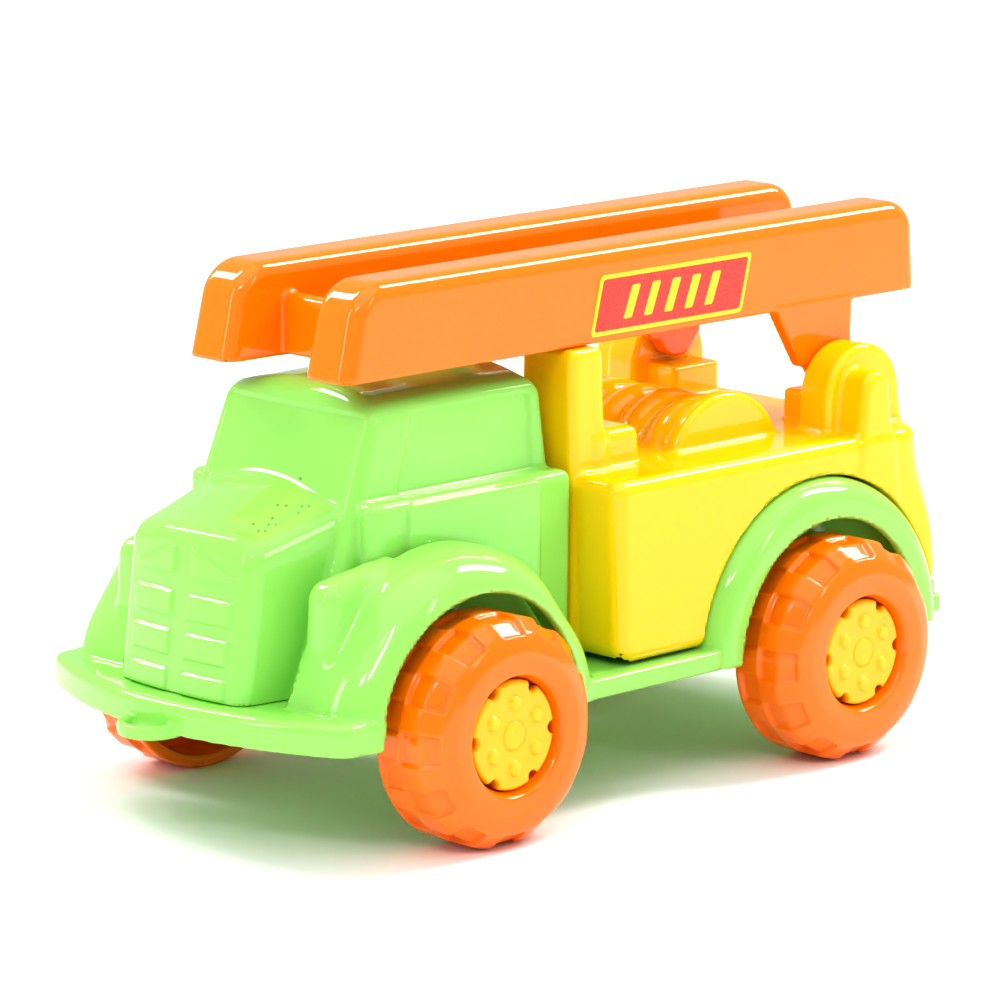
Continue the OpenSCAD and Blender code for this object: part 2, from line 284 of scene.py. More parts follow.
# ---- chassis ----
def front_bumper(x, y, z):
    """Bumper bar: a disc of large radius in plan cut to the width of the fenders, hollow
    from below and cut out round the wheels."""
    bow_r, front_x, back_x, arch_y = 127, 135, 88, 49
    bow = np.sqrt((x - (front_x - bow_r)) ** 2 + y ** 2) - bow_r
    plan = rmax(bow, y - FENDER_Y, 3.2)
    plan = np.maximum(plan, back_x - x)
    f = rmax(plan, z - BUMPER_TOP, 2.8)
    hollow = np.maximum(plan + WALL + 0.4, z - (BUMPER_TOP - WALL))
    f = np.maximum(f, -hollow)
    wheel = wheel_distance(x, z, FRONT_AXLE_X)
    f = np.maximum(f, -np.maximum(wheel - ARCH_R, arch_y - y))
    return rmax(f, SKIRT_Z - z, RIM)


def tow_loop(x, y, z):
    """Flat band bent in a half circle under the bumper."""
    out_r, mid_r, half_band, back_x = 9.8, 8.5, 1.3, 130
    ring = np.abs(np.sqrt((x - (TOW_X - out_r)) ** 2 + y ** 2) - mid_r) - half_band
    return np.maximum(rmax(ring, slab(z, SKIRT_Z - 1, SKIRT_Z + 3), 1.1), back_x - x)


def pod(x, y, z):
    """Headlight pod beside the bonnet: a block that widens downwards, with a rounded top that
    rises towards the back."""
    front_x, in_y, out_y, top_z, back_x = 109.3, 34.9, 46.2, 76.8, 84
    drop = 72 - z
    front = (x - front_x - 0.05 * drop) * 0.999
    side = slab(y, in_y - 0.02 * drop, out_y + 0.02 * drop)
    top = (z - top_z - 0.15 * (109 - x)) * 0.989
    f = rmax(rmax(front, side, 4.2), top, 5)
    return np.maximum(f, back_x - x)


def pod_shell(x, y, z):
    """Pod hollowed from below and cut away inside the front fender's skin."""
    f = np.maximum(pod(x, y, z), -(pod(x, y, np.maximum(z, HOLLOW_Z)) + WALL))
    f = np.maximum(f, FENDER_R - WALL - 4.5 - wheel_distance(x, z, FRONT_AXLE_X))
    return rmax(f, SKIRT_Z - z, RIM)


def sill(x, y, z):
    """Step between the wheels: a low block hollowed from below and cut round both wheels."""
    f = box(x, y, z, (-30, 46, SKIRT_Z), (32, FENDER_Y - 0.4, SKIRT_Z + 6), 1.6)
    hollow = box(x, y, z, (-40, 48.5, 20), (42, FENDER_Y - 2.8, SKIRT_Z + 3.6), 0.5)
    f = np.maximum(f, -hollow)
    for centre_x in (FRONT_AXLE_X, REAR_AXLE_X):
        f = np.maximum(f, ARCH_R - wheel_distance(x, z, centre_x))
    return f


def rear_bumper(x, y, z):
    """Rear bar, hollow from below and from the front, with an arm out to each rear fender."""
    bar = box(x, y, z, (-140, -60, SKIRT_Z - 3), (-126, 48.5, BUMPER_TOP), 3)
    hollow = box(x, y, z, (-137.6, -60, 10), (-120, 46.1, BUMPER_TOP - 2.4), 1)
    bar = np.maximum(bar, -hollow)
    arm = box(x, y, z, (-133, 38, SKIRT_Z), (-120, 56, SKIRT_Z + 6), 1.5)
    arm = np.maximum(arm, ARCH_R - wheel_distance(x, z, REAR_AXLE_X))
    return rmin(bar, arm, 1)


def bearers(x, y, z):
    """Two pairs of hanging plates with a round end, bored for the axle wires."""
    half_wide, bore_r, thick = 6, 2.1, 4
    f = 1e3
    for centre_x in (FRONT_AXLE_X, REAR_AXLE_X):
        radial = wheel_distance(x, z, centre_x)
        strip = np.maximum(np.abs(x - centre_x) - half_wide, slab(z, AXLE_Z, FLOOR_TOP))
        plate = np.minimum(radial - half_wide, strip)
        for low_y in (24, 44):
            one = np.maximum(plate, slab(y, low_y, low_y + thick))
            f = np.minimum(f, np.maximum(one, bore_r - radial))
    return f


def chassis_field(x, y, z):
    """Green chassis: floor plate, sills, fenders, pods, bumpers, towing loop and axle plates."""
    y = np.abs(y)
    in_y = np.where(x > 89, 35, 42)
    f = fender(x, y, z, FRONT_AXLE_X, in_y, edge=11, reach=16, dip=2.6)
    well = wheel_well(x, y, z, FRONT_AXLE_X, in_y, in_y + 2.4, inset=4.5)
    f = np.minimum(f, np.maximum(well, 84 - x))
    f = rmin(f, pod_shell(x, y, z), 3)
    f = rmin(f, front_bumper(x, y, z), 1.2)
    f = rmin(f, tow_loop(x, y, z), 1.2)
    f = np.minimum(f, fender(x, y, z, REAR_AXLE_X, REAR_WELL_Y, edge=7, reach=9, dip=0))
    f = np.minimum(f, wheel_well(x, y, z, REAR_AXLE_X, 45.6, REAR_WELL_Y, inset=1.4))
    f = rmin(f, sill(x, y, z), 1)
    f = np.minimum(f, box(x, y, z, (-128, -60, FLOOR_Z), (108, 51, FLOOR_TOP), 0.4))
    f = rmin(f, rear_bumper(x, y, z), 1)
    return np.minimum(f, bearers(x, y, z))


# ---- cab ----
def bonnet(x, y, z):
    """Bonnet: a sloping crowned top, tapering sides and a front that leans back and bows."""
    top_edge_z, half_wide, front_x, back_x = 85, 26.2, 121.5, 82
    drop = top_edge_z - z
    top_z = top_edge_z + 0.32 * (119 - x) + 4.5 - y ** 2 / 150
    top = (z - top_z) * 0.95
    side = (y - half_wide - 0.13 * (120 - x) - 0.02 * drop) * 0.99
    front = (x - front_x - 0.125 * drop + y ** 2 / 330) * 0.99
    f = rmax(rmax(front, side, 4), top, 4)
    return np.maximum(f, back_x - x)


def cabin(x, y, z):
    """Upper cab: raked windscreen, back and sides that lean in, and a crowned roof."""
    screen_x, back_x, half_wide, roof_z = 89.4, 11.9, 32.9, 125.6
    rise = z - BELT_Z
    screen = (x - screen_x + 0.37 * (z - 96.2) + y ** 2 / 700) * 0.938
    back = (back_x + 0.075 * rise - x) * 0.997
    side = (y - half_wide + 0.075 * rise) * 0.997
    roof = z - roof_z + y ** 2 / 190 + (x - 45) ** 2 / 2600
    f = rmax(rmax(screen, side, 3.5), back, 2.5)
    return rmax(f, roof, 4)


def lower_cab(x, y, z):
    """Lower cab: a block a little wider than the cabin, with a rounded belt line."""
    half_wide, front_x = 40.2, 87.2
    side = y - half_wide + 0.012 * (BELT_Z - z)
    f = rmax(rmax(CAB_BACK_X - x, side, 2), x - front_x, 5)
    return rmax(f, z - BELT_Z, 3)


def cab_plain(x, y, z):
    """The three cab shapes joined with small fillets, before the panels."""
    f = rmin(lower_cab(x, y, z), cabin(x, y, z), 1.2)
    return rmin(f, bonnet(x, y, z), 1.4)


def grille_mask(y, z):
    """Raised grille panels: three rows in two columns under two slanted top panels."""
    in_y, out_y, edge = 3.2, 20, 1.2
    first_top, row_pitch, row_tall = 48.5, 10.9, 6.8
    mask = 0
    for row in range(3):
        top = first_top + row_pitch * row
        low = max(top - row_tall, BUMPER_TOP + 0.6)
        mask = np.maximum(mask, plate_mask(y, z, (in_y, low), (out_y, top), 0.7, edge))
    slant = (z + 0.42 * y - 84.8) * 0.922
    wedge = rmax(rmax(slant, 75.6 - z, 0.5), slab(y, in_y, out_y), 0.5)
    return np.maximum(mask, relief(wedge, edge))


def window_mask(x, z):
    """Side window: a pane with an upright back edge and a front edge raked like the
    windscreen."""
    back_x, foot_x, foot_z = 18.6, 71.2, 96.5
    front_x = foot_x - 0.33 * (z - foot_z)
    pane = rmax(rmax(back_x - x, (x - front_x) * 0.95, 1.2), slab(z, 88, 118), 1.2)
    return relief(pane, 1.6)


def cab_field(x, y, z):
    """Cab shell: the plain cab with raised grille and door panels and sunk windows, hollow
    from below."""
    y = np.abs(y)
    f = cab_plain(x, y, z)
    grille_rise, door_rise, screen_dip, window_dip = 0.95, 0.9, 0.7, 0.8
    f = f - grille_rise * grille_mask(y, z) * (x > 112)
    door = plate_mask(x, z, (23, 30), (74.2, BELT_Z - 1.2), 2, 1.0)
    f = f - door_rise * door * (y > 33) * (z < BELT_Z + 3)
    screen = plate_mask(y, z, (-28.6, 88), (28.6, 118.4), 2, 2.0)
    f = f + screen_dip * screen * (x > 72) * ramp(z - 94 - 0.32 * (88 - x), 0, 2)
    f = f + window_dip * window_mask(x, z) * (y > 20) * ramp(z, BELT_Z - 1, BELT_Z + 1)
    hollow = cab_plain(x, y, np.maximum(z, HOLLOW_Z)) + WALL
    f = np.maximum(f, -hollow)
    low_z = np.where(x > 88.5, BUMPER_TOP + 0.1, UPPER_FOOT_Z)
    return rmax(f, low_z - z, 0.3)


# ---- rear body ----
def side_wall(x, y, z):
    """Side walls and deck of the rear body, with a rear edge that sweeps back as it comes
    down, tucks in at its foot and is rounder in plan near the deck, and a round front foot."""
    half_wide, front_x, back_x, tuck_z = 57, 8.2, -124.4, 47
    side = y - half_wide - 0.02 * (DECK_Z - z)
    sweep = 0.11 * (DECK_Z - np.maximum(z, 50))
    tuck = 0.35 * np.maximum(tuck_z - z, 0)
    rear = (back_x - sweep + tuck - x) * 0.99
    front = x - front_x + 0.006 * (DECK_Z - z)
    f = rmax(rmax(front, UPPER_FOOT_Z - z, 7), side, 4.5)
    f = rmax(f, rear, 4 + 7 * ramp(z, 58, 84))
    return rmax(f, z - DECK_Z, 4)


def ladder_rest(x, y, z):
    """Front posts that the rails lie on, each with a step behind it."""
    step_top, edge = 104, 2.5
    rise = z - DECK_Z
    along = slab(x, -6.6 + 0.03 * rise, 8.1 - 0.02 * rise)
    across = slab(y, 15.6 + 0.02 * rise, 38.6 - 0.03 * rise)
    post = rmax(rmax(along, across, edge), z - (RAIL_Z - 0.4), 2)
    step = rmax(slab(x, -20.5 + 0.05 * rise, 0), slab(y, 17, 38.2 - 0.03 * rise), edge)
    step = rmax(step, z - step_top, 3)
    return rmin(post, step, 2)


def pivot_post(x, y, z):
    """Rear posts with a round top, an outer buttress and the low block under each leg."""
    post_x, post_z, post_r = -106.6, 102, 16
    rib_x, rib_z, rib_r = -101.7, 106, 5.6
    foot = np.maximum(post_z - z, 0)
    reach = np.sqrt((x - post_x + 0.06 * foot) ** 2 + np.maximum(z - post_z, 0) ** 2)
    post = rmax(reach - post_r - 0.11 * foot, slab(y, 34.6, 47), 2)
    half = rib_r + 0.12 * np.maximum(rib_z - z, 0)
    rib = np.sqrt((x - rib_x) ** 2 + np.maximum(z - rib_z, 0) ** 2) - half
    rib = rmax(rib, slab(y, 40, 57.2), 2.4)
    block = box(x, y, z, (-116.5, 22.6, 80), (-96.5, 40, 102.8), 1.6)
    return rmin(rmin(post, rib, 1.6), block, 1)


def hose_reel(x, y, z):
    """Hose reel lying across the deck: rounded coils between two flanges. A coil's radius
    swells like an ellipse over each pitch along the reel."""
    reel_x, sunk, flange_r = -58.5, 9, 24
    pitch, root_r, swell = 12.0, 18.4, 3.6
    radial = np.sqrt((x - reel_x) ** 2 + (z - (DECK_Z - sunk)) ** 2)
    coil = np.abs((y / pitch + 0.5) % 1 - 0.5) * 2
    hose = (radial - root_r - swell * np.sqrt(np.maximum(1 - coil ** 2 * 0.95, 0))) * 0.8
    hose = np.maximum(hose, y - 34)
    flange = rmax(radial - flange_r, slab(y, 30.4, 36), 1.8)
    return rmin(hose, flange, 0.8)


def rear_plain(x, y, z):
    """Rear body before its hollow and wheel spaces are cut."""
    f = side_wall(x, y, z)
    f = rmin(f, ladder_rest(x, y, z), 1.8)
    f = rmin(f, pivot_post(x, y, z), 1.8)
    return rmin(f, hose_reel(x, y, z), 1.5)


def rear_field(x, y, z):
    """Rear body: walls of even thickness, open below, cut round the rear fenders and bored
    for the pivot pins."""
    y = np.abs(y)
    fender_gap, space_y = 0.5, 45.1
    wheel = wheel_distance(x, z, REAR_AXLE_X)
    space = np.maximum(wheel - FENDER_R - fender_gap, space_y - y)
    core = np.maximum(side_wall(x, y, np.maximum(z, HOLLOW_Z)) + WALL, WALL - space)
    f = np.maximum(rmax(rear_plain(x, y, z), -space, 0.4), -core)
    bore_r, bore_in_y, bore_end_y = 2.55, 33, 44.4
    bore = np.sqrt((x - PIVOT_X) ** 2 + (z - PIVOT_Z) ** 2) - bore_r
    f = np.maximum(f, -np.maximum(bore, slab(y, bore_in_y, bore_end_y)))
    return rmax(f, UPPER_FOOT_Z - z, 0.3)


# ---- ladder ----
def rail(x, z, inset=0.0):
    """Rail in side view with raked ends and soft upper corners, made smaller by inset."""
    corner_r = 9.5
    rise = z - RAIL_Z
    front = (x - RAIL_FRONT_X + 0.24 * rise) * 0.972
    back = (RAIL_BACK_X + 0.05 * rise - x) * 0.999
    ends = np.maximum(front, back) + inset
    return rmax(ends, z - RAIL_TOP + inset, corner_r - inset)


def rail_walls(x, y, z):
    """Hollow rail, open below: its long edges are sharp at the foot and soft near the top and
    near both ends."""
    lean = 0.02 * (RAIL_TOP - z)
    width = slab(y, RAIL_IN_Y + 0.6 - lean, RAIL_OUT_Y - 0.5 + lean)
    middle = (RAIL_FRONT_X + RAIL_BACK_X) / 2
    reach = (RAIL_FRONT_X - RAIL_BACK_X) / 2
    near_top = ramp(z, RAIL_Z + 2, RAIL_Z + 10)
    near_end = ramp(np.abs(x - middle), reach - 13, reach - 7)
    f = rmax(rail(x, z), width, 0.8 + 3.8 * np.maximum(near_top, near_end))
    f = rmax(f, RAIL_Z - z, RIM)
    hollow = rmax(rail(x, z, WALL), width + WALL, 1.5)
    return np.maximum(f, -hollow)


def rungs(x, y, z):
    """Round-topped cross bars at an even pitch between the rails."""
    half_thick, first_x, top_drop, pitch = 3.4, 68, 9.5, 45
    # forty pitches keep the length positive, and the half pitch centres a rung on first_x
    along = np.abs((x - first_x + pitch * 40.5) % pitch - pitch / 2)
    f = rmax(along - half_thick, z - (RAIL_TOP - top_drop), 3.2)
    f = np.maximum(f, y - RAIL_IN_Y - 1.5)
    f = rmax(f, RAIL_Z + RIM - z, RIM)
    return np.maximum(f, slab(x, -118, 75))


def leg(x, z):
    """Flat leg in side view: a wedge under the rail that runs into a round end."""
    knuckle_r, front_x, back_x = 9, -81.6, -115.2
    knuckle = np.sqrt((x - PIVOT_X) ** 2 + (z - PIVOT_Z) ** 2) - knuckle_r
    front_edge = (x - front_x - 0.62 * (z - RAIL_Z)) * 0.85
    back_edge = (back_x - 0.04 * (z - RAIL_Z) - x) * 0.999
    wedge = rmax(rmax(front_edge, back_edge, 0.8), slab(z, PIVOT_Z - 2.5, RAIL_Z + 2), 0.8)
    return rmin(wedge, knuckle, 2)


def ladder_field(x, y, z):
    """Two hollow rails with rungs between them and flat bored legs under the outer walls."""
    y = np.abs(y)
    thick, bore_r, bore_deep = 4.4, 2.6, 3.4
    plate = rmax(leg(x, z), slab(y, RAIL_OUT_Y - thick, RAIL_OUT_Y - 0.1), 0.8)
    f = rmin(rail_walls(x, y, z), plate, 0.8)
    radial = np.sqrt((x - PIVOT_X) ** 2 + (z - PIVOT_Z) ** 2)
    f = np.maximum(f, -np.maximum(radial - bore_r, RAIL_OUT_Y - bore_deep - y))
    return rmin(f, rungs(x, y, z), 1.2)


# ---- wheels: profiles turned round the axle ----
def rounded_path(corners, radii, step):
    """Open path through the corners, each rounded by an arc of its own radius: the arc touches
    both legs, and the path is then resampled at even steps."""
    corners = np.array(corners, float)
    pieces = [corners[:1]]
    for k in range(1, len(corners) - 1):
        a, b, c = corners[k - 1], corners[k], corners[k + 1]
        u, v = (a - b) / np.linalg.norm(a - b), (c - b) / np.linalg.norm(c - b)
        half = math.acos(float(np.clip(u @ v, -1, 1))) / 2
        reach = radii[k] / math.tan(half)
        bisector = (u + v) / np.linalg.norm(u + v)
        centre = b + bisector * radii[k] / math.sin(half)
        start, end = b + u * reach - centre, b + v * reach - centre
        t = np.linspace(0, 1, 9)[:, None]
        swing = math.pi - 2 * half
        arc = (np.sin((1 - t) * swing) * start + np.sin(t * swing) * end) / math.sin(swing)
        pieces.append(centre + arc)
    pieces.append(corners[-1:])
    path = np.concatenate(pieces)
    length = np.concatenate([[0], np.cumsum(np.linalg.norm(np.diff(path, axis=0), axis=1))])
    s = np.linspace(0, length[-1], max(int(length[-1] / step), 4))
    return np.stack([np.interp(s, length, path[:, 0]), np.interp(s, length, path[:, 1])], 1)


def ring_points(radius, height, angles, centre_x, side):
    """Points of rings round an axle, from grids of radius and height by ring and angle. side
    is 1 for left and -1 for right."""
    x = centre_x + radius * np.cos(angles)
    z = AXLE_Z + radius * np.sin(angles)
    return np.stack([x, side * height, z], -1).reshape(-1, 3)


def ring_quads(rings, count, closed):
    """Quads between each ring and the next, and from the last to the first if closed."""
    a = np.arange(rings if closed else rings - 1)[:, None] * count
    b = (a + count) % (rings * count)
    j = np.arange(count)[None, :]
    k = (j + 1) % count
    return np.stack([a + j, a + k, b + k, b + j], -1).reshape(-1, 4)


def turned(name, radius, height, angles, centre_x, side):
    """Surface of rings round an axle whose first and last ring close on one point each."""
    rings, count = radius.shape
    ends = np.array([[centre_x, side * height[0].mean(), AXLE_Z],
                     [centre_x, side * height[-1].mean(), AXLE_Z]])
    P = np.concatenate([ring_points(radius, height, angles, centre_x, side), ends])
    quads = ring_quads(rings, count, closed=False)
    first, last = rings * count, rings * count + 1
    j = np.arange(count)
    k = (j + 1) % count
    cap_a = np.stack([np.full(count, first), k, j], -1)
    top = (rings - 1) * count
    cap_b = np.stack([np.full(count, last), top + j, top + k], -1)
    if side < 0:
        quads, cap_a, cap_b = quads[:, ::-1], cap_a[:, ::-1], cap_b[:, ::-1]
    return mesh_object(name, P, quads.tolist() + cap_a.tolist() + cap_b.tolist())


def lug_depth(along, angle):
    """How deep the tread is sunk, from 0 to 1: two rows of twelve rectangular pockets, the
    inner row half a pitch round from the outer one, by path length and angle."""
    pitch = 2 * math.pi / 12
    half = pitch * WHEEL_R * 0.27
    depth = 0
    for low, high, shift in ((1.6, 8.0, 0.0), (9.3, 22.5, 0.5)):
        turn = np.abs((angle / pitch + shift) % 1 - 0.5) * pitch * WHEEL_R
        depth = np.maximum(depth, plate_mask(turn, along, (-half, low), (half, high), 0.8, 0.7))
    return depth


def tyre(name, centre_x, side):
    """Hollow tyre: the closed wall section turned round the axle, its outside sunk by the
    tread pockets along the section's normal."""
    y0, y1 = TYRE_IN_Y, TYRE_OUT_Y
    lug_deep, lug_start, count = 1.25, 2.2, 480
    outside = rounded_path(
        [(WHEEL_R - 2.2, y0), (WHEEL_R, y0), (WHEEL_R, y1 - 6.5), (WHEEL_R - 4.5, y1 - 1.2),
         (23.5, y1 + 0.1), (HUB_R + 1.8, y1 - 0.2), (HUB_R + 0.45, y1 - 3.5),
         (HUB_R + 0.3, y1 - 8.8)],
        [0, 0.8, 3.5, 6, 9, 1.6, 1.2, 0], 0.42)
    inside = rounded_path(
        [(HUB_R + 0.3, y1 - 8.8), (2.1, y1 - 8.8), (2.1, y1 - 17), (4.6, y1 - 17),
         (4.6, y1 - 11), (HUB_R + 3, y1 - 11), (HUB_R + 4, y1 - 4), (WHEEL_R - 7, y1 - 4),
         (WHEEL_R - 4, y1 - 8), (WHEEL_R - 3.4, y0), (WHEEL_R - 2.2, y0)],
        [0, 0.1, 0.3, 0.5, 0.5, 0.8, 1, 2, 1, 0.1, 0], 1.2)
    section = np.concatenate([outside, inside[1:-1]])
    angles = np.linspace(0, 2 * math.pi, count, endpoint=False)[None, :]
    n = len(outside)
    tangent = np.gradient(outside, axis=0)
    tangent /= np.linalg.norm(tangent, axis=1, keepdims=True)
    normal = np.stack([tangent[:, 1], -tangent[:, 0]], 1)
    length = np.concatenate([[0], np.cumsum(np.linalg.norm(np.diff(outside, axis=0), axis=1))])
    depth = lug_deep * lug_depth(length[:, None] - lug_start, angles)
    radius = np.repeat(section[:, :1], count, axis=1)
    height = np.repeat(section[:, 1:], count, axis=1)
    radius[:n] -= depth * normal[:, :1]
    height[:n] -= depth * normal[:, 1:]
    P = ring_points(radius, height, angles, centre_x, side)
    # the section runs the other way round from a turned surface, so the faces are turned over
    quads = ring_quads(len(section), count, closed=True)[:, [0, 3, 2, 1]]
    if side < 0:
        quads = quads[:, ::-1]
    return mesh_object(name, P, quads)


def hub(name, centre_x, side):
    """Hub cap: a disc with a rolled rim, six half-round notches in its edge, six domed studs
    and a low centre disc with a groove round it."""
    back, face = TYRE_OUT_Y - 8.6, TYRE_OUT_Y - 1.9
    count, rim, notch_r, stud_r = 360, 1.3, 2.1, 2.5
    boss_r, pitch_r = 0.27 * HUB_R, 0.6 * HUB_R
    sixth = math.pi / 3
    angles = np.linspace(0, 2 * math.pi, count, endpoint=False)[None, :]
    turn = np.abs((angles / sixth + 0.5) % 1 - 0.5) * sixth
    notch = np.sqrt(np.maximum(notch_r ** 2 - (HUB_R * turn) ** 2, 0))
    edge = HUB_R - notch
    t = np.linspace(0, math.pi / 2, 8)[1:, None]
    u = np.linspace(0, 1, 64)[1:, None]
    flat_r = u * (edge - rim)
    stud_turn = np.abs((angles / sixth) % 1 - 0.5) * sixth
    gap = np.sqrt((flat_r * np.cos(stud_turn) - pitch_r) ** 2 + (flat_r * np.sin(stud_turn)) ** 2)
    dome = ease(np.clip((stud_r - gap) / 0.9, 0, 1)) * (1 + 0.25 * np.clip(1 - gap / stud_r, 0, 1))
    groove = np.exp(-((flat_r - boss_r) / 0.3) ** 2)
    raised = np.clip((boss_r - flat_r) / 0.6, 0, 1)
    flat_y = face + 0.95 * dome + 0.3 * raised - 0.35 * groove
    radius = np.concatenate([
        flat_r, edge - rim + rim * np.sin(t), edge + 0 * angles, edge * 0.5 + 0 * angles])
    height = np.concatenate([
        flat_y, face - rim + rim * np.cos(t) + 0 * angles, back + 0 * angles,
        back + 0 * angles])
    return turned(name, radius[::-1], height[::-1], angles, centre_x, side)


# ---- labels ----
def slanted_plate(name, mid, half_l, half_h, slant, corner, y0, y1):
    """Thin plate between y0 and y1 with the outline of a rounded rectangle whose upper edge is
    pushed back by slant on each side of the middle."""
    t = np.linspace(0, math.pi / 2, 7)
    quarter = np.stack([np.cos(t), np.sin(t)], 1) * corner
    turns = [(1, 1), (-1, 1), (-1, -1), (1, -1)]
    loop = []
    for k, (sx, sz) in enumerate(turns):
        arc = quarter if k % 2 == 0 else quarter[::-1]
        loop.append(arc * (sx, sz) + (sx * (half_l - corner), sz * (half_h - corner)))
    loop = np.concatenate(loop)
    loop[:, 0] += slant * loop[:, 1] / half_h
    loop += mid
    n = len(loop)
    P = np.concatenate([np.stack([loop[:, 0], np.full(n, y), loop[:, 1]], 1) for y in (y0, y1)])
    j = np.arange(n)
    k = (j + 1) % n
    sides = np.stack([j, k, n + k, n + j], 1)
    near, far = j, n + j[::-1]
    if y1 > y0:
        sides = sides[:, ::-1]
    else:
        near, far = near[::-1], far[::-1]
    obj = mesh_object(name, P, sides.tolist() + [near.tolist(), far.tolist()])
    obj.data.shade_flat()
    return obj


# ---- materials ----
def linear(hex_colour):
    """Linear RGBA from an sRGB hex value."""
    parts = [int(hex_colour[i:i + 2], 16) / 255 for i in (1, 3, 5)]
    return [c / 12.92 if c <= 0.04045 else ((c + 0.055) / 1.055) ** 2.4 for c in parts] + [1]


def add(nodes, kind, links=(), **settings):
    """Add one node: settings name its inputs or properties, and each link is a pair of an
    input name and the socket that feeds it."""
    node = nodes.new(kind)
    for key, value in settings.items():
        if hasattr(node, key):
            setattr(node, key, value)
        else:
            node.inputs[key.replace("_", " ")].default_value = value
    for socket, source in links:
        node.id_data.links.new(source, node.inputs[socket])
    return node


def new_material(name):
    """Empty material: the material, its node list and its Object coordinates."""
    material = bpy.data.materials.new(name)
    material.use_nodes = True
    nodes = material.node_tree.nodes
    nodes.clear()
    return material, nodes, add(nodes, "ShaderNodeTexCoord").outputs["Object"]


def moulded_plastic(name, colour, shade, glow, roughness=0.06):
    """Glossy polyolefin, injected or blown: a clear-looking skin over a slightly translucent
    body. The eye sees long soft highlights that waver a little where the wall shrank while it
    cooled, faint flow marks and handling haze."""
    material, nodes, place = new_material(name)
    # flow marks 40 mm long, sink ripple 14 mm across, haze specks 0.9 mm across
    flow = add(nodes, "ShaderNodeTexNoise", [("Vector", place)], Scale=25.0, Detail=2.0)
    ripple = add(nodes, "ShaderNodeTexNoise", [("Vector", place)], Scale=70.0, Detail=1.0)
    haze = add(nodes, "ShaderNodeTexNoise", [("Vector", place)], Scale=1100.0, Detail=2.0)
    tint = add(nodes, "ShaderNodeMix", [("Factor", flow.outputs["Fac"])],
               data_type="RGBA", A=linear(colour), B=linear(shade))
    gloss = add(nodes, "ShaderNodeMapRange", [("Value", haze.outputs["Fac"])],
                To_Min=roughness - 0.02, To_Max=roughness + 0.03)
    height = add(nodes, "ShaderNodeMath", [(0, ripple.outputs["Fac"]), (2, haze.outputs["Fac"])],
                 operation="MULTIPLY_ADD")
    ripple_to_haze = 14.0
    height.inputs[1].default_value = ripple_to_haze
    bump = add(nodes, "ShaderNodeBump", [("Height", height.outputs["Value"])],
               Strength=0.35, Distance=0.000012)
    shader = add(nodes, "ShaderNodeBsdfPrincipled", [
        ("Base Color", tint.outputs["Result"]), ("Roughness", gloss.outputs["Result"]),
        ("Normal", bump.outputs["Normal"])],
        IOR=1.5, Subsurface_Weight=glow, Subsurface_Radius=(1.0, 1.0, 0.6), Subsurface_Scale=0.004)
    add(nodes, "ShaderNodeOutputMaterial", [("Surface", shader.outputs["BSDF"])])
    return material


def printed_vinyl(name, colour):
    """Screen-printed vinyl label: flat ink under a thin gloss film, with a faint ink grain."""
    material, nodes, place = new_material(name)
    # ink grain 0.7 mm across
    grain = add(nodes, "ShaderNodeTexNoise", [("Vector", place)], Scale=1500.0, Detail=1.0)
    rough = add(nodes, "ShaderNodeMapRange", [("Value", grain.outputs["Fac"])],
                To_Min=0.22, To_Max=0.34)
    shader = add(nodes, "ShaderNodeBsdfPrincipled", [("Roughness", rough.outputs["Result"])],
                 Base_Color=linear(colour), IOR=1.5)
    add(nodes, "ShaderNodeOutputMaterial", [("Surface", shader.outputs["BSDF"])])
    return material


def drawn_steel(name, colour):
    """Zinc-plated drawn wire: grey metal with fine lines along Y from the drawing die."""
    material, nodes, place = new_material(name)
    stretch = add(nodes, "ShaderNodeMapping", [("Vector", place)], Scale=(1.0, 0.03, 1.0))
    # die lines 0.3 mm apart round the wire
    lines = add(nodes, "ShaderNodeTexNoise", [("Vector", stretch.outputs["Vector"])], Scale=3000.0)
    rough = add(nodes, "ShaderNodeMapRange", [("Value", lines.outputs["Fac"])],
                To_Min=0.28, To_Max=0.42)
    shader = add(nodes, "ShaderNodeBsdfPrincipled", [("Roughness", rough.outputs["Result"])],
                 Base_Color=linear(colour), Metallic=1.0)
    add(nodes, "ShaderNodeOutputMaterial", [("Surface", shader.outputs["BSDF"])])
    return material


GREEN = moulded_plastic("green_moulded_polypropylene", "#9ADE69", "#94DB62", 0.35)
YELLOW = moulded_plastic("yellow_moulded_polypropylene", "#FFCC00", "#FFC700", 0.25)
HUB_YELLOW = moulded_plastic("hub_yellow_moulded_polypropylene", "#FFC400", "#FFBE00", 0.2)
WHEEL_ORANGE = moulded_plastic("wheel_orange_blown_polyethylene", "#FF7A00", "#FF7400", 0.25, 0.08)
LADDER_ORANGE = moulded_plastic("ladder_orange_moulded_polypropylene", "#FF7F00", "#FF7A00", 0.25)
LABEL_YELLOW = printed_vinyl("label_yellow_printed_vinyl", "#FFDF20")
LABEL_RED = printed_vinyl("label_red_printed_vinyl", "#F23A2C")
STEEL = drawn_steel("axle_drawn_steel", "#C4C7CB")


def fit_out(piece, material, body, slot, *nodes):
    """Give a new piece its material, its body and the CAD nodes it stands for."""
    piece.data.materials.append(material)
    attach(piece, body)
    if nodes:
        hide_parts(*nodes)
    return piece


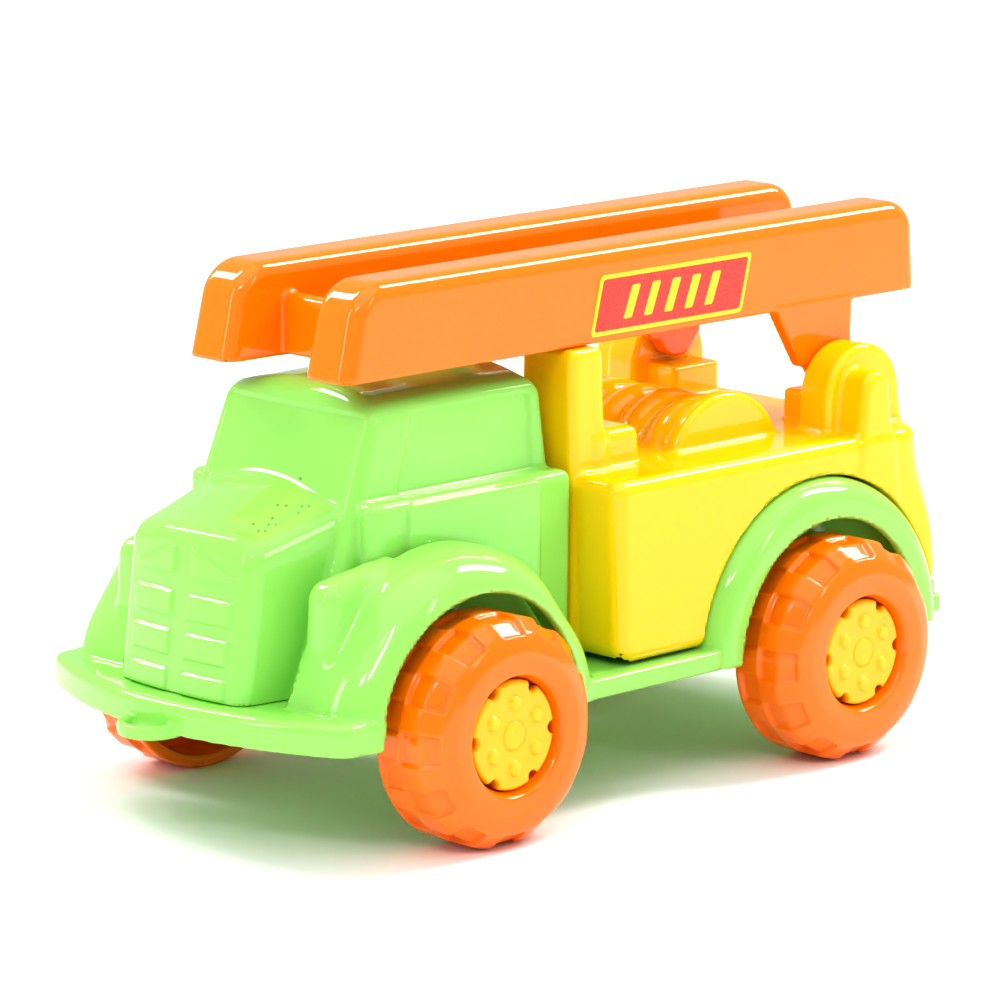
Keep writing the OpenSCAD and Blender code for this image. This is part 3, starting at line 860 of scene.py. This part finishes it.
# ---- mouldings ----
def build_mouldings():
    """Cab, chassis, rear body and ladder. Each grid reaches a little past its moulding and is
    finer where panels, ledges and thin walls need it."""
    chassis = moulding(
        "chassis_moulding", chassis_field,
        axis(-142, TOW_X + 1.5, 1.25), axis(-64.3, 64.3, 1.25),
        axis(27, 87, 1.1, [(31, 43)], 0.8))
    fit_out(chassis, GREEN, "truck_body", "green_plastic", "chassis")
    cab = moulding(
        "cab_moulding", cab_field,
        axis(CAB_BACK_X - 2, 129, 1.3, [(16, 24), (66, 90), (114, 129)], 0.85),
        axis(-43, 43, 1.1, [(-31, 31)], 0.72),
        axis(37, 128, 1.2, [(40, 86), (93, 98), (116, 127)], 0.72))
    fit_out(cab, GREEN, "truck_body", "green_plastic", "cab_shell")
    rear = moulding(
        "rear_body_moulding", rear_field,
        axis(-131, 10.5, 1.15), axis(-60, 60, 1.15),
        axis(37, 131, 1.1, [(90, 96), (100, 110)], 0.8))
    fit_out(rear, YELLOW, "truck_body", "yellow_plastic", "rear_body")
    ladder = moulding(
        "ladder_moulding", ladder_field,
        axis(RAIL_BACK_X - 2, RAIL_FRONT_X + 2, 1.2), axis(-36, 36, 0.95),
        axis(101, RAIL_TOP + 1.5, 1.0))
    fit_out(ladder, LADDER_ORANGE, "ladder_frame", "ladder_plastic", "ladder")


def build_wheels():
    """Four tyres and four hub caps."""
    for axle, centre_x, body in (("front", FRONT_AXLE_X, "front_wheels"),
                                 ("rear", REAR_AXLE_X, "rear_wheels")):
        for hand, side in (("left", 1), ("right", -1)):
            spot = axle + "_" + hand
            fit_out(tyre("tyre_moulding_" + spot, centre_x, side), WHEEL_ORANGE,
                    body, "wheel_plastic", "tyre_" + spot)
            fit_out(hub("hub_moulding_" + spot, centre_x, side), HUB_YELLOW,
                    body, "hub_plastic", "hub_" + spot)


def build_labels():
    """A label on the outside of each rail: yellow edge, red field and a row of plain slanted
    bars, in steps of thin film. Each layer starts inside the rail's wall."""
    low, high = node_box("sticker_left")
    mid = np.array([(low[0] + high[0]) / 2, (low[2] + high[2]) / 2])
    lean, edge_wide, bar_pitch, bar_half, bar_margin = 1.9, 1.3, 8.4, 1.7, 4
    half_l = (high[0] - low[0]) / 2 - 2.3
    half_h = (high[2] - low[2]) / 2
    film = (high[1] - low[1]) / 3
    for hand, side in (("left", 1), ("right", -1)):
        y = side * low[1]
        base = slanted_plate("label_edge_" + hand, mid, half_l, half_h, -2.2, 1.5,
                             y - side * 0.6, y + side * film)
        fit_out(base, LABEL_YELLOW, "ladder_frame", "label_paper", "sticker_" + hand)
        field = slanted_plate("label_field_" + hand, mid, half_l - edge_wide, half_h - edge_wide,
                              -lean, 0.8, y - side * 0.5, y + side * 2 * film)
        fit_out(field, LABEL_RED, "ladder_frame", "label_paper")
        for k in range(5):
            spot = mid + ((k - 2) * bar_pitch, 0)
            bar = slanted_plate("label_bar_%s_%d" % (hand, k + 1), spot, bar_half,
                                half_h - bar_margin, -lean, 0.6,
                                y - side * 0.4, y + side * 3 * film)
            fit_out(bar, LABEL_YELLOW, "ladder_frame", "label_paper")


def finish_cad_nodes():
    """The axles, screws and pivot pins keep their CAD mesh and get their material."""
    for material, nodes in ((STEEL, ("front_axle", "rear_axle", "body_screws")),
                            (LADDER_ORANGE, ("ladder_pin_left", "ladder_pin_right"))):
        for node in nodes:
            finishes = frame["nodes"][node].data.materials
            finishes.clear()
            finishes.append(material)


# ---- studio ----
def studio_floor():
    """White paper floor, twelve metres square."""
    half = 6000.0
    points = np.array([[-half, -half, 0], [half, -half, 0], [half, half, 0], [-half, half, 0]])
    floor = mesh_object("studio_floor", points, [[0, 1, 2, 3]])
    paper = bpy.data.materials.new("studio_paper")
    paper.use_nodes = True
    shader = paper.node_tree.nodes["Principled BSDF"]
    shader.inputs["Base Color"].default_value = (0.93, 0.93, 0.93, 1)
    shader.inputs["Roughness"].default_value = 0.7
    floor.data.materials.append(paper)


def aimed(name, data, spot, target):
    """New object at spot that looks at target, both in metres."""
    obj = bpy.data.objects.new(name, data)
    obj.location = spot
    aim = Vector(target) - obj.location
    obj.rotation_euler = aim.to_track_quat("-Z", "Y").to_euler()
    bpy.context.scene.collection.objects.link(obj)
    return obj


def studio_light():
    """Even white world, light from the ceiling, two strips behind and four soft lamps."""
    world = bpy.context.scene.world or bpy.data.worlds.new("studio_world")
    bpy.context.scene.world = world
    world.use_nodes = True
    background = world.node_tree.nodes["Background"]
    background.inputs["Color"].default_value = (1, 1, 1, 1)
    background.inputs["Strength"].default_value = 0.58

    sun = bpy.data.lights.new("ceiling_bounce", "SUN")
    sun.energy = 1.0
    sun.angle = math.radians(70)
    bounce = bpy.data.objects.new("ceiling_bounce", sun)
    bounce.rotation_euler = (math.radians(-14), math.radians(10), 0)
    bpy.context.scene.collection.objects.link(bounce)

    # name, place, target, width and height in metres, watts
    lamps = (
        ("back_strip", (-1.09, 0.34, 1.2), (0, 0, 0.1), (0.34, 0.8), 17.0),
        ("right_strip", (0.34, -1.1, 1.2), (0, 0, 0.1), (0.30, 0.8), 12.0),
        ("left_softbox", (-0.35, 1.45, 0.85), (0, 0, 0.08), (0.16, 0.6), 1.7),
        ("front_lamp_near", (1.2, 0.9, 1.4), (0, 0, 0.08), (0.12, 0.2), 2.2),
        ("front_lamp_far", (1.45, 0.6, 1.4), (0, 0, 0.08), (0.12, 0.2), 2.2),
        ("front_softbox", (1.45, -0.35, 0.8), (0.05, 0, 0.08), (0.25, 0.8), 3.4),
    )
    for name, spot, target, size, power in lamps:
        light = bpy.data.lights.new(name, "AREA")
        light.shape = "RECTANGLE"
        light.size, light.size_y = size
        light.energy = power
        aimed(name, light, spot, target)


def studio_camera():
    """Long lens from the front left, a little above the truck, and a firm contrast."""
    scene = bpy.context.scene
    scene.view_settings.view_transform = "Standard"
    scene.view_settings.look = "Medium High Contrast"
    data = bpy.data.cameras.new("camera")
    data.lens = 196.8
    data.sensor_width = 36
    data.clip_end = 50
    scene.camera = aimed("camera", data, (1.0895, 1.1319, 0.4094), (0, 0, 0.0787))


studio_floor()
studio_light()
studio_camera()
build_mouldings()
build_wheels()
build_labels()
finish_cad_nodes()
